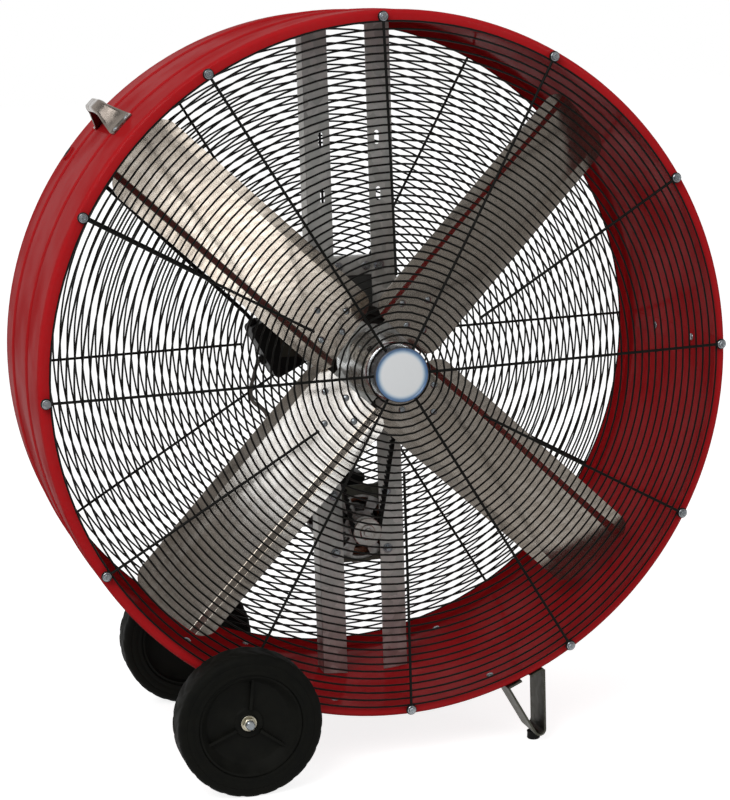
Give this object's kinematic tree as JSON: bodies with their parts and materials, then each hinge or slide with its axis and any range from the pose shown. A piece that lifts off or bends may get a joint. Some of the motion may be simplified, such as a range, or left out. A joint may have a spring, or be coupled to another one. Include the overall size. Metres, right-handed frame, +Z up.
{
  "type": "drum_fan",
  "caption": "Belt-drive drum fan on two wheels and strap legs, with four riveted blades, wire guards and a rear-hung motor",
  "frame": {"origin": "on the floor, under the drum's axis and half way along its depth", "axes": "+X is to the right seen from the front, +Y points back from the air's outlet to its inlet, +Z is up"},
  "size_m": [1.249, 0.626, 1.3325],
  "materials": {
    "red_paint": "gloss powder coat",
    "black_wire": "semi-gloss powder coat",
    "galvanised": "dull galvanised sheet",
    "aluminium": "mill finish, brushed along the blade",
    "bright_steel": "zinc or nickel plated",
    "dark_steel": "dark grey paint",
    "rubber": "matt",
    "tyre_rubber": "matt",
    "black_plastic": "matt",
    "copper": "varnished copper winding on a steel core",
    "grey_cable": "matt sheath",
    "badge_face": "gloss"
  },
  "bodies": {
    "frame": {"drum_shell": "red_paint", "front_guard": "black_wire", "rear_guard": "black_wire", "guard_badge": "badge_face", "front_guard_bolt_01": "bright_steel", "front_guard_bolt_02": "bright_steel", "front_guard_bolt_03": "bright_steel", "front_guard_bolt_04": "bright_steel", "front_guard_bolt_05": "bright_steel", "front_guard_bolt_06": "bright_steel", "front_guard_bolt_07": "bright_steel", "front_guard_bolt_08": "bright_steel", "front_guard_bolt_09": "bright_steel", "front_guard_bolt_10": "bright_steel", "front_guard_bolt_11": "bright_steel", "front_guard_bolt_12": "bright_steel", "left_post": "galvanised", "right_post": "galvanised", "upper_cross_angle": "galvanised", "lower_cross_angle": "galvanised", "bearing_housing": "dark_steel", "front_bearing": "bright_steel", "rear_bearing": "bright_steel", "drive_belt": "rubber", "motor_plate": "galvanised", "motor_front_bell": "aluminium", "motor_rear_bell": "aluminium", "motor_stator": "copper", "motor_shell": "dark_steel", "motor_capacitor_cover": "black_plastic", "switch_box": "black_plastic", "switch_box_cover": "black_plastic", "switch_bracket": "dark_steel", "power_cable": "rubber", "cable_grommet": "rubber", "motor_lead": "grey_cable", "wheel_axle": "bright_steel", "front_axle_nut": "bright_steel", "rear_axle_nut": "bright_steel", "front_axle_bracket": "galvanised", "rear_axle_bracket": "galvanised", "front_leg": "galvanised", "rear_leg": "galvanised", "front_leg_foot": "rubber", "rear_leg_foot": "rubber", "handle": "bright_steel"},
    "fan_rotor": {"fan_shaft": "bright_steel", "fan_hub": "galvanised", "blade_1": "aluminium", "blade_2": "aluminium", "blade_3": "aluminium", "blade_4": "aluminium", "fan_pulley": "dark_steel"},
    "motor_rotor": {"motor_shaft": "bright_steel", "motor_pulley": "aluminium"},
    "front_wheel": {"front_wheel_disc": "black_plastic", "front_wheel_tyre": "tyre_rubber"},
    "rear_wheel": {"rear_wheel_disc": "black_plastic", "rear_wheel_tyre": "tyre_rubber"},
    "switch_dial": {"switch_knob": "black_plastic"}
  },
  "joints": [
    {"name": "fan_spin", "type": "hinge", "parent": "frame", "child": "fan_rotor", "pos_m": [0, 0, 0.708], "axis": [0, 1, 0], "continuous": true},
    {"name": "motor_spin", "type": "hinge", "parent": "frame", "child": "motor_rotor", "pos_m": [0, 0, 0.372], "axis": [0, 1, 0], "continuous": true},
    {"name": "front_wheel_spin", "type": "hinge", "parent": "frame", "child": "front_wheel", "pos_m": [-0.301, -0.2795, 0.127], "axis": [0, 1, 0], "continuous": true},
    {"name": "rear_wheel_spin", "type": "hinge", "parent": "frame", "child": "rear_wheel", "pos_m": [-0.301, 0.2795, 0.127], "axis": [0, 1, 0], "continuous": true},
    {"name": "switch_knob_turn", "type": "hinge", "parent": "frame", "child": "switch_dial", "pos_m": [-0.115, 0.235, 0.712], "axis": [0, 1, 0], "range_deg": [0, 90]}
  ],
  "couplings": [
    {"joint": "motor_spin", "follows": "fan_spin", "ratio": 3.3333}
  ]
}
